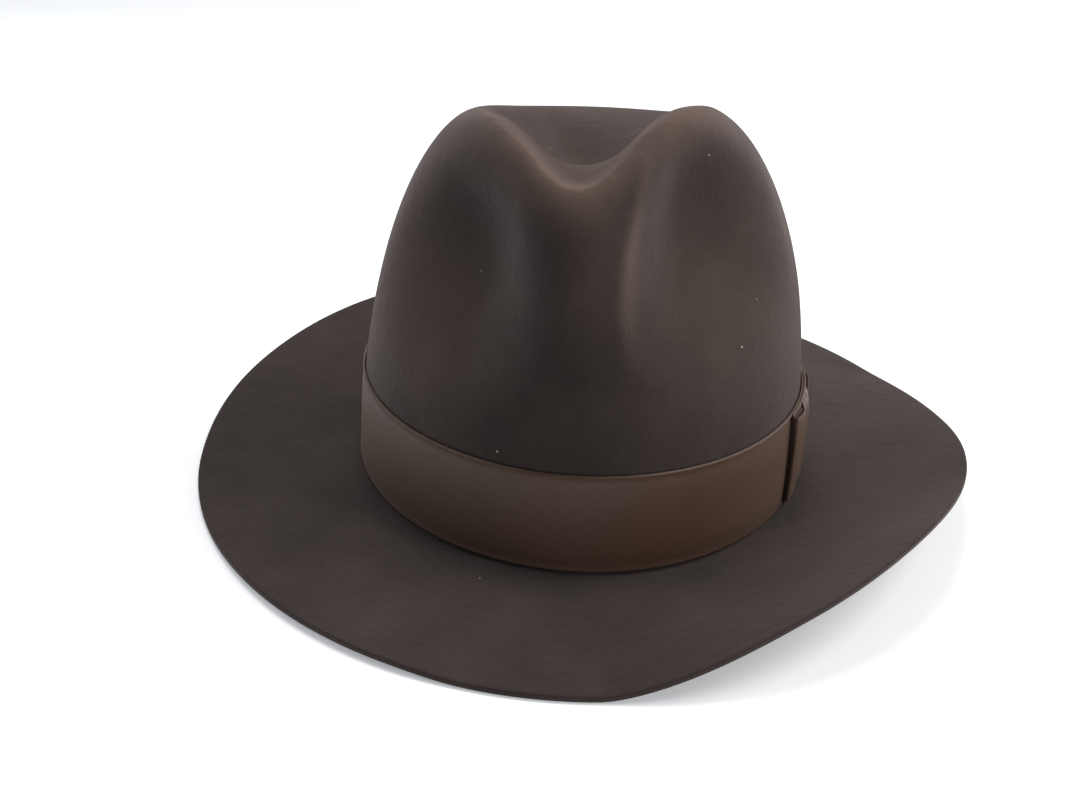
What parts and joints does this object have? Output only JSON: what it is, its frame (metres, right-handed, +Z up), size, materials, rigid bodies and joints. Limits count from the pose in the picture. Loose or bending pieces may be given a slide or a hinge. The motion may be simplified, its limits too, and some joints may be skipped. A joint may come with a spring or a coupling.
{
  "type": "fedora hat",
  "caption": "Brown felt fedora with a centre-creased, front-pinched crown, grosgrain ribbon and side bow, waved brim, leather sweatband and satin lining.",
  "frame": {"origin": "middle of the hat's bounding box at its base, on the surface that the brim rests on", "axes": "+Z up out of the crown, -Y towards the front of the hat, +X towards the wearer's left, where the bow is"},
  "size_m": [0.3042, 0.3328, 0.1491],
  "materials": {
    "felt": "soft brushed dark-brown fur felt with a short nap",
    "grosgrain": "ribbed grosgrain ribbon, mid brown, faint sheen",
    "thread": "brown sewing thread",
    "leather": "smooth tan-brown sweatband leather, semi-gloss",
    "reed": "cream plastic reed",
    "tape": "woven black-brown folded tape",
    "satin": "taupe satin lining cloth",
    "piping": "brown corded piping",
    "film": "thin clear film",
    "label": "blank cream label"
  },
  "bodies": {
    "root": {"felt_body": "felt", "hat_ribbon": "grosgrain", "bow_base": "grosgrain", "bow_front_loop": "grosgrain", "bow_rear_loop": "grosgrain", "bow_knot": "grosgrain", "bow_front_tack": "thread", "bow_rear_tack": "thread", "sweatband": "leather", "sweatband_reed": "reed", "reed_tape": "tape", "sweatband_lockstitch": "thread", "sweatband_sewing_thread": "thread", "sweatband_seam_tape": "leather", "rear_bow_loops": "satin", "rear_bow_knot": "satin", "size_label": "label", "lining_side": "satin", "lining_tip": "satin", "lining_piping": "piping", "lining_side_seam": "satin", "lining_tip_protector": "film", "protector_stitching": "thread", "ribbon_tack_1": "thread", "ribbon_tack_2": "thread", "ribbon_tack_3": "thread", "ribbon_tack_4": "thread"}
  },
  "joints": []
}
